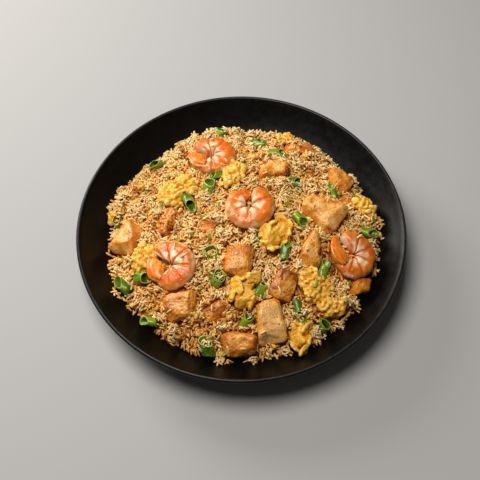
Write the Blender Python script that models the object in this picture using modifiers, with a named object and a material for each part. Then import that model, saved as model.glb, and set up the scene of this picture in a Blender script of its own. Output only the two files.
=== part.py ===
"""Fried rice with shrimp, chicken, egg and spring onion, heaped in a shallow bowl.

Units are metres, with +Z up. The origin is the middle of the bowl's foot, on the surface it stands on.
The bowl carries one heap of rice. Each topping lies in a pocket that is cut to its shape in the heap,
and the pieces that touch are cut clear of each other by GAP.
"""

from math import atan2, cos, hypot, pi, radians, sin

import bmesh
import bpy
from mathutils import Matrix, Vector, noise

MM = 0.001
GAP = 0.3 * MM  # between pieces that touch

# Bowl: a thin turned wall that curls up from a flat floor, on a low foot ring
BOWL_RADIUS = 0.140
BOWL_HEIGHT = 0.0365
BOWL_WALL = 0.0036
FLOOR_RADIUS = 0.085
FLOOR_TOP = 0.007
FOOT_RADIUS = 0.080
FOOT_WIDTH = 0.006
FOOT_HOLLOW = 0.0026
LIP_RADIUS = BOWL_RADIUS - 0.87 * BOWL_WALL  # where the upper surface ends and the round lip starts
LIP_HEIGHT = BOWL_HEIGHT - 0.16 * BOWL_WALL
WALL_STEPS = 5
LIP_STEPS = 4
BOWL_SIDES = 40

# Rice: a low dome that fills the bowl's floor and climbs its wall
HEAP_RADIUS = 0.1160
HEAP_TOP = 0.0525
HEAP_EDGE = 0.004  # thickness at the outline, about two grains
HEAP_FULLNESS = 0.9  # below 1, the flanks bulge
HEAP_SIDES = 40
HEAP_RINGS = 8  # from the top to the widest ring
HEAP_UNDER_RINGS = 3  # from there to the middle underneath
RING_CROWDING = 0.9  # below 1, the rings crowd towards the outline
LUMP_HEIGHT = 0.0016
LUMP_SPACING = 0.022
LUMP_FADE = 0.25  # share of the radius over which the lumps die away towards the outline

# The waves of the heap's outline: how many go round, how far each reaches, and where it starts
OUTLINE_WAVES = [
    (1, 2.0 * MM, 0.0),
    (3, 1.2 * MM, 0.5),
    (7, 1.3 * MM, -0.6),
    (16, 0.8 * MM, -1.6),
]

# Shrimp: a curled tail that thins from the cut head end to the tail fan
SHRIMP_RADIUS = 0.0205  # outside of the curl
SHRIMP_DEPTH = 0.0170  # from back to belly, at the head end
SHRIMP_THICKNESS = 0.0135
SHRIMP_SWEEP = 262  # degrees from the head end to the root of the fan
SHRIMP_TAPER = 0.22  # lost by the root of the fan
HEAD_ROUNDING = 0.70
FAN_SWEEP = 78  # degrees that the fan covers
FAN_WIDTHS = (0.52, 0.62, 0.56, 0.20)  # along the fan, as shares of the depth
FAN_THICKNESSES = (0.50, 0.36, 0.28, 0.18)
SHRIMP_SECTIONS = 10
SHRIMP_SIDES = 8

# Chicken: a cut cube whose corners stray by a share of its half size
CHUNK_STRAY = 0.30
CHUNK_STRAY_SCALE = 1.7
CHUNK_STRAY_APART = 9.3  # between the fields that move a corner along X, Y and Z
CHUNK_THINNING = 0.12  # by which the far end is thinner
CHUNK_ROUNDING = 0.12  # of the width

# Egg: a ball that swells unevenly and is pulled towards a box, as a torn curd is
CURD_SWELL = 0.42
CURD_SWELL_SCALE = 1.5
CURD_SQUARENESS = 0.45

# Spring onion: a squashed tube, cut at a slant so that its far end opens upwards
ONION_WALL = 0.0013
ONION_SIDES = 8
ONION_SQUASH = 0.78  # height as a share of the width
ONION_SKEW = 0.5  # most that a cut runs along the tube for each unit across it
ONION_CUT = 0.65  # what it runs for each unit of height, as a share of length over width
ONION_STEEPEST_CUT = 1.1
NEAR_CUT = 0.35  # the near end's cut against the far end's

POCKET_HEIGHT = 0.030  # a pocket is open this far upwards
FLAT_ANGLE = 2.0  # degrees between faces that are merged

# Where the toppings lie, in millimetres and degrees: x and y of the middle, then the turn about the
# heap's normal there. A piece's length lies along its turn, and lift is its middle's height over the rice.

# x, y, turn of the head end, size against the others, lift
SHRIMP = [
    (-26, 64, 150, 1.04, 3.0),
    (7, 6, 78, 1.02, 3.5),
    (-57, -42, 140, 1.02, 3.5),
    (91, -29, 128, 1.00, 3.5),
]

# x, y, turn, length, width, thickness, share by which the far end is narrower, lift
CHICKEN = [
    (-97, -9, 65, 28, 25, 16, 0.10, 1.5),
    (-49, -74, 12, 28, 24, 15, 0.15, 1.5),
    (-2, -41, 80, 28, 25, 15, 0.15, 1.5),
    (68, 8, 145, 36, 32, 16, 0.45, 2.0),
    (86, 46, -20, 24, 20, 14, 0.20, 1.5),
    (28, 48, 5, 26, 18, 13, 0.20, 1.0),
    (57, -27, 85, 33, 20, 14, 0.60, 1.5),
    (34, -60, 70, 24, 21, 15, 0.15, 1.5),
    (22, -88, 100, 36, 24, 16, 0.25, 2.0),
    (-3, -105, 0, 30, 20, 14, 0.15, 1.0),
    (96, -53, 10, 20, 14, 10, 0.20, 2.5),
    (-62, 0, 60, 22, 20, 12, 0.40, 0.5),
    (-22, -80, 40, 17, 15, 11, 0.10, 0.0),
    (-28, -8, 30, 14, 13, 11, 0.20, 0.0),
    (46, 80, 0, 16, 12, 10, 0.10, 0.5),
    (62, 82, -15, 16, 12, 10, 0.10, 0.5),
    (90, 26, 80, 13, 11, 9, 0.20, 0.5),
]

# x, y, turn, length, width, thickness, lift
EGG = [
    (4, -65, 60, 28, 22, 12, 2.0),
    (27, -17, 50, 30, 22, 12, 1.5),
    (-56, 28, 40, 36, 26, 12, 1.0),
    (-6, 43, 75, 24, 18, 11, 1.0),
    (-81, -30, 85, 26, 20, 11, 0.5),
    (59, -58, 120, 30, 21, 12, 1.5),
    (72, -74, 5, 24, 16, 11, 1.5),
    (48, -97, 80, 24, 12, 10, 1.0),
    (106, 23, -30, 22, 16, 10, 1.0),
    (40, 93, 0, 17, 10, 9, 1.0),
    (-111, 17, 80, 12, 8, 7, 2.0),
]

# x, y, turn, length, width across, degrees that the tube stands up, lift
ONION = [
    (-23, 98, 8, 13.3, 9.5, 25, 1.5),
    (-74, 66, 232, 11.5, 10.8, 40, 1.5),
    (-108, 12, 0, 6, 11, 65, 1.5),
    (-45, 16, 298, 15.6, 9, 15, 2.0),
    (-29, 27, 60, 13.1, 9.9, 40, 1.5),
    (-21, 43, 200, 9, 8.1, 30, 1.0),
    (12, 84, 5, 14, 9, 15, 1.5),
    (29, 71, -8, 16, 9, 20, 1.5),
    (43, 36, -15, 12.3, 9.9, 25, 1.5),
    (78, 31, 115, 11.5, 8.1, 25, 1.5),
    (48, -1, 300, 12.2, 8.8, 25, 1.5),
    (11, -24, 75, 13.1, 9.9, 20, 1.0),
    (-24, -34, 100, 6, 12.3, 55, 0.5),
    (-20, -56, 30, 9, 11.4, 45, 1.0),
    (16, -64, 65, 13.1, 9, 15, 1.5),
    (-82, -49, -15, 12.3, 9.9, 20, 2.0),
    (-96, -54, 135, 13.1, 9.9, 30, 1.5),
    (-73, -84, 168, 10.6, 8.8, 25, 1.5),
    (-27, -108, 100, 13.7, 9.7, 20, 1.5),
    (4, -89, 60, 10.7, 9, 30, 1.0),
    (35, -33, 80, 14.4, 7.9, 15, 2.0),
    (67, -46, 75, 13.7, 7.9, 15, 1.5),
    (46, -77, 278, 16, 8.8, 15, 1.5),
    (106, -4, -25, 11.5, 9, 30, 1.5),
    (66, -89, 80, 7, 9.9, 50, 2.0),
]


def clear_scene():
    """Remove what the file opened with."""
    for obj in list(bpy.data.objects):
        bpy.data.objects.remove(obj, do_unlink=True)


def new_collection(name):
    """A collection linked to the scene."""
    collection = bpy.data.collections.new(name)
    bpy.context.scene.collection.children.link(collection)
    return collection


def new_material(name, colour, roughness):
    """A plain Principled finish."""
    material = bpy.data.materials.new(name)
    material.use_nodes = True
    shader = material.node_tree.nodes["Principled BSDF"]
    shader.inputs["Base Color"].default_value = (*colour, 1.0)
    shader.inputs["Roughness"].default_value = roughness
    shader.inputs["Metallic"].default_value = 0.0
    return material


def new_object(name, shape, collection, material=None):
    """Turn a bmesh into a named object with outward faces."""
    bmesh.ops.recalc_face_normals(shape, faces=shape.faces)
    mesh = bpy.data.meshes.new(name)
    shape.to_mesh(mesh)
    shape.free()
    obj = bpy.data.objects.new(name, mesh)
    collection.objects.link(obj)
    if material:
        mesh.materials.append(material)
        mesh.shade_smooth()
    return obj


def cut(obj, **operand):
    """Cut obj by an object or by all of a collection."""
    modifier = obj.modifiers.new("cut", "BOOLEAN")
    modifier.operation = "DIFFERENCE"
    modifier.solver = "EXACT"
    if "collection" in operand:
        modifier.operand_type = "COLLECTION"
        modifier.collection = operand["collection"]
    else:
        modifier.object = operand["object"]


# The bowl


def wall_height(radius):
    """Height of the bowl's upper surface at a radius."""
    climb = max(0.0, (radius - FLOOR_RADIUS) / (LIP_RADIUS - FLOOR_RADIUS))
    return FLOOR_TOP + (LIP_HEIGHT - FLOOR_TOP) * climb**2


def wall_normal(radius):
    """The upper surface's normal, as its radial and upright parts."""
    step = 0.1 * MM
    slope = (wall_height(radius + step) - wall_height(radius - step)) / (2 * step)
    length = hypot(slope, 1.0)
    return -slope / length, 1.0 / length


def bowl_profile():
    """Points (radius, height) from the middle of the floor over the lip to the middle underneath."""
    climb = LIP_RADIUS - FLOOR_RADIUS
    radii = [FLOOR_RADIUS + climb * i / WALL_STEPS for i in range(WALL_STEPS + 1)]
    inner = [(radius, wall_height(radius)) for radius in radii]
    outer = []
    for radius, height in inner:
        away, up = wall_normal(radius)
        outer.append((radius - BOWL_WALL * away, height - BOWL_WALL * up))
    # The lip is a half circle from the inner surface to the outer one
    start = Vector(inner[-1])
    end = Vector(outer[-1])
    middle = (start + end) / 2
    lip = []
    for i in range(1, LIP_STEPS):
        spoke = start - middle
        turn = Matrix.Rotation(-pi * i / LIP_STEPS, 2)
        lip.append(tuple(middle + turn @ spoke))
    foot = [
        (FOOT_RADIUS, outer[0][1]),
        (FOOT_RADIUS, 0.0),
        (FOOT_RADIUS - FOOT_WIDTH, 0.0),
        (FOOT_RADIUS - FOOT_WIDTH, FOOT_HOLLOW),
        (0.0, FOOT_HOLLOW),
    ]
    return [(0.0, FLOOR_TOP)] + inner + lip + outer[::-1] + foot


def build_bowl(collection):
    """Turn the profile into the bowl."""
    mesh = bpy.data.meshes.new("bowl")
    points = [(radius, 0.0, height) for radius, height in bowl_profile()]
    mesh.from_pydata(points, [(i, i + 1) for i in range(len(points) - 1)], [])
    bowl = bpy.data.objects.new("bowl", mesh)
    collection.objects.link(bowl)
    mesh.materials.append(new_material("black_glaze", (0.012, 0.012, 0.013), 0.35))
    screw = bowl.modifiers.new("turn", "SCREW")
    screw.axis = "Z"
    screw.steps = BOWL_SIDES
    screw.render_steps = BOWL_SIDES
    screw.use_merge_vertices = True
    screw.merge_threshold = 0.01 * MM
    screw.use_smooth_shade = True
    return bowl


# The heap of rice


def heap_outline(angle):
    """Radius of the rice's uneven edge in a direction."""
    return HEAP_RADIUS + sum(reach * cos(count * angle + start) for count, reach, start in OUTLINE_WAVES)


def lumps(x, y):
    """Unevenness of the rice's surface."""
    return LUMP_HEIGHT * noise.noise(Vector((x, y, 0.0)) / LUMP_SPACING)


def heap_height(x, y):
    """Height of the rice's surface over a point of the bowl."""
    edge = heap_outline(atan2(y, x))
    share = min(1.0, hypot(x, y) / edge)
    foot = wall_height(edge) + GAP + HEAP_EDGE
    dome = (1.0 - share**2) ** HEAP_FULLNESS
    fade = min(1.0, (1.0 - share) / LUMP_FADE)
    return foot + (HEAP_TOP - foot) * dome + lumps(x, y) * fade


def heap_normal(x, y):
    """The rice surface's normal, taken over the width of a topping."""
    reach = 6 * MM
    along_x = (heap_height(x + reach, y) - heap_height(x - reach, y)) / (2 * reach)
    along_y = (heap_height(x, y + reach) - heap_height(x, y - reach)) / (2 * reach)
    return Vector((-along_x, -along_y, 1.0)).normalized()


def build_rice(collection):
    """A ball whose upper rings take the heap's surface and whose lower rings follow the bowl."""
    rings = HEAP_RINGS + HEAP_UNDER_RINGS
    shape = bmesh.new()
    bmesh.ops.create_uvsphere(shape, u_segments=HEAP_SIDES, v_segments=rings, radius=1.0)
    for vert in shape.verts:
        ring = round(rings * Vector((0, 0, 1)).angle(vert.co) / pi)
        angle = atan2(vert.co.y, vert.co.x)
        edge = heap_outline(angle)
        if ring < HEAP_RINGS:
            # The last upper ring stops short of the outline, so that the edge is round
            share = (ring / HEAP_RINGS) ** RING_CROWDING * (1.0 - 0.5 * HEAP_EDGE / edge)
            x = share * edge * cos(angle)
            y = share * edge * sin(angle)
            vert.co = (x, y, heap_height(x, y))
        else:
            share = (rings - ring) / HEAP_UNDER_RINGS
            radius = edge * share**0.5
            lift = GAP + (0.4 * HEAP_EDGE if ring == HEAP_RINGS else 0.0)
            vert.co = (radius * cos(angle), radius * sin(angle), wall_height(radius) + lift)
    return new_object("rice", shape, collection, new_material("rice", (0.80, 0.52, 0.25), 0.5))


# Toppings, each made round the origin with its length along X, and a cage that encloses it


def loft(sections):
    """Skin a row of rings that have the same number of points, and close both ends."""
    shape = bmesh.new()
    rings = [[shape.verts.new(point) for point in section] for section in sections]
    count = len(rings[0])
    for near, far in zip(rings, rings[1:]):
        for i in range(count):
            j = (i + 1) % count
            shape.faces.new((near[i], near[j], far[j], far[i]))
    shape.faces.new(rings[0])
    shape.faces.new(rings[-1][::-1])
    return shape


def shrimp_section(angle, depth, thickness):
    """An oval ring across the curl at an angle about the curl's axis, flush with the curl's outside."""
    middle = SHRIMP_RADIUS - depth / 2
    ring = []
    for i in range(SHRIMP_SIDES):
        around = 2 * pi * (i + 0.5) / SHRIMP_SIDES
        reach = middle + depth / 2 * cos(around)
        ring.append(Vector((reach * cos(angle), reach * sin(angle), thickness / 2 * sin(around))))
    return ring


def shrimp_shape(size):
    """The curl runs clockwise from the head end on +X, and the fan closes it."""
    sections = []
    for i in range(SHRIMP_SECTIONS):
        share = i / (SHRIMP_SECTIONS - 1)
        full = HEAD_ROUNDING if i == 0 else 1.0 - SHRIMP_TAPER * share**1.5
        angle = -radians(SHRIMP_SWEEP) * share
        sections.append(shrimp_section(angle, SHRIMP_DEPTH * full, SHRIMP_THICKNESS * full))
    for i, (width, thickness) in enumerate(zip(FAN_WIDTHS, FAN_THICKNESSES), 1):
        angle = -radians(SHRIMP_SWEEP + FAN_SWEEP * i / len(FAN_WIDTHS))
        sections.append(shrimp_section(angle, SHRIMP_DEPTH * width, SHRIMP_THICKNESS * thickness))
    sections = [[point * size for point in section] for section in sections]
    cage = [point for section in sections for point in section]
    return loft(sections), cage


def chunk_shape(length, width, thickness, narrowing, seed):
    """A piece of meat cut with six uneven faces. Its edges are rounded by a modifier."""
    shape = bmesh.new()
    bmesh.ops.create_cube(shape, size=2.0)
    for vert in shape.verts:
        side = vert.co.copy()
        place = side * CHUNK_STRAY_SCALE + Vector((seed, 2.3 * seed, 0.7))
        half = Vector((length, width, thickness)) / 2
        if side.x > 0:
            half.y *= 1.0 - narrowing
            half.z *= 1.0 - CHUNK_THINNING
        for axis in range(3):
            stray = noise.noise(place + Vector((0, 0, CHUNK_STRAY_APART * axis)))
            vert.co[axis] = half[axis] * (side[axis] + CHUNK_STRAY * stray)
    cage = [vert.co.copy() for vert in shape.verts]
    return shape, cage


def curd_shape(length, width, thickness, seed):
    """A lumpy, folded curd of scrambled egg."""
    shape = bmesh.new()
    bmesh.ops.create_icosphere(shape, subdivisions=2, radius=1.0)
    half = Vector((length, width, thickness)) / 2
    for vert in shape.verts:
        way = vert.co.normalized()
        swell = 1.0 + CURD_SWELL * noise.noise(way * CURD_SWELL_SCALE + Vector((seed, 0.4, 1.9 * seed)))
        square = max(abs(way.x), abs(way.y), cos(pi / 4)) ** -CURD_SQUARENESS
        for axis in range(3):
            vert.co[axis] = half[axis] * way[axis] * swell * (square if axis < 2 else 1.0)
    cage = [vert.co.copy() for vert in shape.verts]
    return shape, cage


def slice_shape(length, width, seed):
    """A slice of spring onion: an oval tube along X, cut at a slant, with open ends."""
    shape = bmesh.new()
    along = Matrix.Rotation(pi / 2, 4, "Y")
    bmesh.ops.create_cone(
        shape,
        cap_ends=False,
        segments=ONION_SIDES,
        radius1=width / 2,
        radius2=width / 2,
        depth=length,
        matrix=along,
    )
    skew = ONION_SKEW * noise.noise(Vector((seed, 0.3, 0.8)))
    cut_back = min(ONION_STEEPEST_CUT, ONION_CUT * length / width)
    for vert in shape.verts:
        vert.co.z *= ONION_SQUASH
        turned_up = -cut_back if vert.co.x > 0 else NEAR_CUT * cut_back
        vert.co.x += skew * vert.co.y + turned_up * vert.co.z
    # The wall's inner edge stands out past a slanted end
    bore = 1.0 - 2 * ONION_WALL / width
    inner = [Vector((vert.co.x, vert.co.y * bore, vert.co.z * bore)) for vert in shape.verts]
    cage = [vert.co.copy() for vert in shape.verts] + inner
    return shape, cage


# Laying the toppings on the heap


def resting_place(x, y, turn, lift, lean=0.0):
    """The frame of a piece on the heap: X along its turn, Z along the heap's normal."""
    normal = heap_normal(x, y)
    spot = Vector((x, y, heap_height(x, y))) + normal * lift
    tilt = Vector((0, 0, 1)).rotation_difference(normal).to_matrix().to_4x4()
    turned = Matrix.Rotation(radians(turn), 4, "Z")
    leaned = Matrix.Rotation(-radians(lean), 4, "Y")
    return Matrix.Translation(spot) @ tilt @ turned @ leaned


def make_hull(shape):
    """Turn loose points into their convex hull."""
    hull = bmesh.ops.convex_hull(shape, input=shape.verts)
    inside = [item for item in hull["geom_interior"] if isinstance(item, bmesh.types.BMVert)]
    bmesh.ops.delete(shape, geom=inside, context="VERTS")
    bmesh.ops.recalc_face_normals(shape, faces=shape.faces)
    shape.normal_update()


def pocket_hull(name, cage, place, collection):
    """A closed hull round a piece, open upwards, that cuts the rice and lower pieces clear of it."""
    shape = bmesh.new()
    for point in cage:
        shape.verts.new(place @ point)
    make_hull(shape)
    grown = [vert.co + vert.normal * GAP * vert.calc_shell_factor() for vert in shape.verts]
    shape.clear()
    for point in grown:
        shape.verts.new(point)
        shape.verts.new(point + Vector((0, 0, POCKET_HEIGHT)))
    make_hull(shape)
    pocket = new_object("pocket_" + name, shape, collection)
    pocket.hide_render = True
    pocket.display_type = "WIRE"
    return pocket


def near(one, other):
    """Whether the boxes of two meshes meet."""
    for axis in range(3):
        low = [min(vert.co[axis] for vert in obj.data.vertices) for obj in (one, other)]
        high = [max(vert.co[axis] for vert in obj.data.vertices) for obj in (one, other)]
        if low[0] > high[1] or low[1] > high[0]:
            return False
    return True


def lay(name, made, place, material, collection, pockets, bevel=0.0, wall=0.0):
    """Add a topping and its pocket, and cut it clear of the toppings laid before it."""
    shape, cage = made
    piece = new_object(name, shape, collection, material)
    piece.location = place.to_translation()
    piece.rotation_euler = place.to_euler()
    if wall:
        shell = piece.modifiers.new("wall", "SOLIDIFY")
        shell.thickness = wall
        shell.offset = -1.0
    if bevel:
        rounded = piece.modifiers.new("rounded", "BEVEL")
        rounded.width = bevel
    pocket = pocket_hull(name, cage, place, pockets)
    for other in pockets.objects:
        if other != pocket and near(other, pocket):
            cut(piece, object=other)


def build_toppings(collection, pockets):
    """Lay the toppings, those on top first."""
    shrimp = new_material("shrimp", (0.86, 0.42, 0.20), 0.35)
    onion = new_material("onion", (0.16, 0.33, 0.05), 0.4)
    chicken = new_material("chicken", (0.75, 0.42, 0.17), 0.5)
    egg = new_material("egg", (0.88, 0.58, 0.12), 0.45)
    for i, (x, y, turn, size, lift) in enumerate(SHRIMP, 1):
        place = resting_place(x * MM, y * MM, turn, lift * MM)
        lay(f"shrimp_{i}", shrimp_shape(size), place, shrimp, collection, pockets)
    for i, (x, y, turn, length, width, stand, lift) in enumerate(ONION, 1):
        place = resting_place(x * MM, y * MM, turn, lift * MM, stand)
        made = slice_shape(length * MM, width * MM, i)
        lay(f"onion_{i:02d}", made, place, onion, collection, pockets, wall=ONION_WALL)
    for i, (x, y, turn, length, width, thickness, narrowing, lift) in enumerate(CHICKEN, 1):
        place = resting_place(x * MM, y * MM, turn, lift * MM)
        made = chunk_shape(length * MM, width * MM, thickness * MM, narrowing, i)
        rounding = CHUNK_ROUNDING * width * MM
        lay(f"chicken_{i:02d}", made, place, chicken, collection, pockets, bevel=rounding)
    for i, (x, y, turn, length, width, thickness, lift) in enumerate(EGG, 1):
        place = resting_place(x * MM, y * MM, turn, lift * MM)
        made = curd_shape(length * MM, width * MM, thickness * MM, i)
        lay(f"egg_{i:02d}", made, place, egg, collection, pockets)


def main():
    clear_scene()
    parts = new_collection("fried_rice")
    pockets = new_collection("cutters")
    build_bowl(parts)
    rice = build_rice(parts)
    build_toppings(parts, pockets)
    cut(rice, collection=pockets)
    flat = rice.modifiers.new("merge_flat_faces", "DECIMATE")
    flat.decimate_type = "DISSOLVE"
    flat.angle_limit = radians(FLAT_ANGLE)


main()
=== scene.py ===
"""Fried rice in a shallow black bowl: loose grains over a core, and toppings shaped on their CAD solids.

Units are metres, with +Z up, in the CAD model's frame. MM marks lengths given in millimetres.
"""

from itertools import product
from math import cos, pi, radians, sin

import bmesh
import bpy
import numpy as np
from mathutils import Matrix, Vector, noise
from mathutils.bvhtree import BVHTree


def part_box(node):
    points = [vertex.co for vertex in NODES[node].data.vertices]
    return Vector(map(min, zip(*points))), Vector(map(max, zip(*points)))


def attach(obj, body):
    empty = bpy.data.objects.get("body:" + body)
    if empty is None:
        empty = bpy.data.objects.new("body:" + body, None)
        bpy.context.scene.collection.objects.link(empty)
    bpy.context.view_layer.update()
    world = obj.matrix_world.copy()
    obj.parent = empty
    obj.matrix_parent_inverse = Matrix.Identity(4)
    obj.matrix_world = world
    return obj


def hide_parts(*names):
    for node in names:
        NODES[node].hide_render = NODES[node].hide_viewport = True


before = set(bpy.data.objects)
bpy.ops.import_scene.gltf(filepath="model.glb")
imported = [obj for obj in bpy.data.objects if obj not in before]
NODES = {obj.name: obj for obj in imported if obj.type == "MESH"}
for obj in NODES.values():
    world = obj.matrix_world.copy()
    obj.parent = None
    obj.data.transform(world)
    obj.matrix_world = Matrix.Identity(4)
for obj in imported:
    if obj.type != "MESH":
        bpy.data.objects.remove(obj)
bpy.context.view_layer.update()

MM = 0.001
BOWL_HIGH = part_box("bowl")[1]

# The bowl's section, the heap's surface and the shrimp's curl are those of the CAD model
BOWL_RADIUS = BOWL_HIGH.x
BOWL_HEIGHT = BOWL_HIGH.z
BOWL_WALL = 3.6 * MM
FLOOR_RADIUS = 85 * MM
FLOOR_TOP = 7 * MM
FOOT_RADIUS = 80 * MM
FOOT_WIDTH = 6 * MM
FOOT_HOLLOW = 2.6 * MM
FOOT_SOFTNESS = 0.8 * MM
LIP_RADIUS = BOWL_RADIUS - 0.87 * BOWL_WALL
LIP_HEIGHT = BOWL_HEIGHT - 0.16 * BOWL_WALL
BOWL_SIDES = 192
HEAP_RADIUS = 116 * MM
HEAP_TOP = 52.5 * MM
HEAP_EDGE = 4.3 * MM  # over the bowl
HEAP_FULLNESS = 0.9
LUMP_HEIGHT = 1.6 * MM
LUMP_SPACING = 22 * MM
OUTLINE_WAVES = [(1, 2.0 * MM, 0.0), (3, 1.2 * MM, 0.5), (7, 1.3 * MM, -0.6), (16, 0.8 * MM, -1.6)]
SHRIMP_RADIUS = 20.5 * MM
SHRIMP_THICKNESS = 13.5 * MM
SHRIMP_SWEEP = 298
FAN_SWEEP = 78
FAN_OVERLAP = 38  # degrees of the body that the blades cover

# Darker patches of the rice, browned and seasoned except the one beside the egg at the back: x, y and reach in
# millimetres
DARK_PATCHES = [
    (-67, 1, 12),
    (-93, 40, 12),
    (-27, -80, 14),
    (-69, -72, 15),
    (54, -76, 13),
    (-41, -99, 12),
    (-1, -86, 11),
    (-51, 78, 8),
    (73, -41, 9),
    (20, 30, 9),
    (-40, -20, 9),
    # This one only darkens the rice beside the egg at the back.
    (18, 60, 9),
    (60, 52, 8),
]

# How far the loose grains reach beyond the heap's outline: direction in degrees, reach in millimetres
OUTLINE_REACH = [
    (0, 1.5),
    (15, -2.0),
    (45, -4.0),
    (75, -4.0),
    (110, -8.5),
    (130, -3.5),
    (150, 1.0),
    (170, 7.0),
    (185, 5.0),
    (200, 3.0),
    (225, 0.0),
    (240, -1.5),
    (252, 3.0),
    (270, 0.5),
    (288, 7.0),
    (310, -0.5),
    (332, -4.0),
    (348, 3.0),
]

# x, y, turn of the head end, size against the others, lift, in millimetres and degrees
SHRIMP = [
    (-26, 64, 150, 1.04, 3.0),
    (7, 6, 78, 1.02, 3.5),
    (-57, -42, 140, 1.02, 3.5),
    (91, -29, 128, 1.00, 3.5),
]

# Loose rice
GRAIN_LENGTHS = (5.2 * MM, 7.4 * MM)
GRAIN_WIDTHS = (1.55 * MM, 1.95 * MM)
SHORT_LENGTHS = (3.2 * MM, 4.8 * MM)
SHORT_SHARE = 0.15
POKING_SHARE = 0.28
LAYER = 6.5 * MM  # depth of the loose grains over the core
CORE_INSET = 5 * MM  # of the core from the loose grains' outline
EDGE_DROP = 3.0 * MM  # how much lower the heap is at its edge, and over what width
EDGE_WIDTH = 8 * MM
CLUMPS = 4.2 * MM  # height of the clumps of grains
CLUMP_SPACING = 13 * MM
CELL = 0.6 * MM  # of the height map that the grains settle on
MAP_HALF = 134.4 * MM
GRAIN_TRIES = 150000
SETTLING = 0.75  # how far a grain sinks from where a stiff rod would rest to the mean height under it
ON_TOPPINGS = 0.0005  # share of the grains that stay on a topping
TOPMOST_GRAIN = 59 * MM
GRAIN_SIDES = 7


def value_noise(points, spacing, seed=0):
    """Smooth noise from -1 to 1 at an array of points, with lumps of the given spacing."""
    places = np.asarray(points, float) / spacing + 37.3 * seed
    low = np.floor(places).astype(np.int64)
    part = places - low
    part = part * part * (3 - 2 * part)
    total = np.zeros(places.shape[:-1])
    for corner in product((0, 1), repeat=3):
        lattice = low + corner
        mixed = (lattice[..., 0] * 73856093) ^ (lattice[..., 1] * 19349663) ^ (lattice[..., 2] * 83492791)
        mixed = ((mixed ^ (mixed >> 13)) * 1274126177) & 0x7FFFFFFF
        level = ((mixed >> 8) & 0xFFFF) / 32767.5 - 1.0
        total += np.prod(np.where(corner, part, 1 - part), -1) * level
    return total


def flat_noise(x, y, spacing, seed=0):
    """Smooth noise over the plan."""
    return value_noise(np.stack(np.broadcast_arrays(x, y, 0.0 * x), -1), spacing, seed)


def smooth_step(value, low, high):
    """0 below low and 1 above high, with a smooth rise between them."""
    share = np.clip((value - low) / (high - low), 0.0, 1.0)
    return share * share * (3 - 2 * share)


# Meshes from arrays


def new_object(name, points, face_sets, material, attributes=None):
    """A smooth mesh object from points and arrays of faces, riding on the one body."""
    points = np.asarray(points, np.float32).reshape(-1, 3)
    face_sets = [np.asarray(faces, np.int32) for faces in face_sets if len(faces)]
    corners = np.concatenate([faces.ravel() for faces in face_sets])
    sizes = np.concatenate([np.full(len(faces), faces.shape[1]) for faces in face_sets])
    mesh = bpy.data.meshes.new(name)
    mesh.vertices.add(len(points))
    mesh.vertices.foreach_set("co", points.ravel())
    mesh.loops.add(len(corners))
    mesh.loops.foreach_set("vertex_index", corners)
    mesh.polygons.add(len(sizes))
    mesh.polygons.foreach_set("loop_start", np.concatenate([[0], np.cumsum(sizes)[:-1]]).astype(np.int32))
    mesh.update(calc_edges=True)
    mesh.shade_smooth()
    mesh.materials.append(material)
    obj = bpy.data.objects.new(name, mesh)
    bpy.context.scene.collection.objects.link(obj)
    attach(obj, "root")
    for key, values in (attributes or {}).items():
        add_attribute(obj, key, values)
    return obj


def add_attribute(obj, name, values):
    """A number per point, for the material."""
    layer = obj.data.attributes.new(name, "FLOAT", "POINT")
    layer.data.foreach_set("value", np.asarray(values, np.float32).ravel())


def read_points(mesh, normals=False):
    """A mesh's points, or their normals, as an array."""
    values = np.empty(len(mesh.vertices) * 3, np.float32)
    if normals:
        mesh.vertex_normals.foreach_get("vector", values)
    else:
        mesh.vertices.foreach_get("co", values)
    return values.reshape(-1, 3).astype(float)


def ring_faces(rings, sides, closed=True):
    """Quads between rings of points that follow each other."""
    rows = np.arange(rings - 1)[:, None] * sides
    here = np.arange(sides if closed else sides - 1)[None, :]
    there = (here + 1) % sides
    return np.stack([rows + here, rows + sides + here, rows + sides + there, rows + there], -1).reshape(-1, 4)


def fan_faces(tip, first, sides, outward=True):
    """Triangles from a tip to the ring whose points start at first."""
    here = np.arange(sides)
    there = (here + 1) % sides
    fan = np.stack([np.full(sides, tip), first + here, first + there], -1)
    return fan if outward else fan[:, ::-1]


def copies(shapes, face_sets, places, axes):
    """Join copies of one template: shapes (n, p, 3) in each copy's own axes (n, 3, 3), moved to places."""
    points = np.einsum("npk,nkc->npc", shapes, axes) + places[:, None]
    step = (np.arange(len(places)) * shapes.shape[1])[:, None, None]
    return points.reshape(-1, 3), [(faces[None] + step).reshape(-1, faces.shape[1]) for faces in face_sets]


def ball(subdivisions):
    """Points and triangles of a unit icosphere."""
    shape = bmesh.new()
    bmesh.ops.create_icosphere(shape, subdivisions=subdivisions, radius=1.0)
    points = np.array([vert.co[:] for vert in shape.verts])
    faces = np.array([[vert.index for vert in face.verts] for face in shape.faces])
    shape.free()
    return points, faces


# Materials


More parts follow.
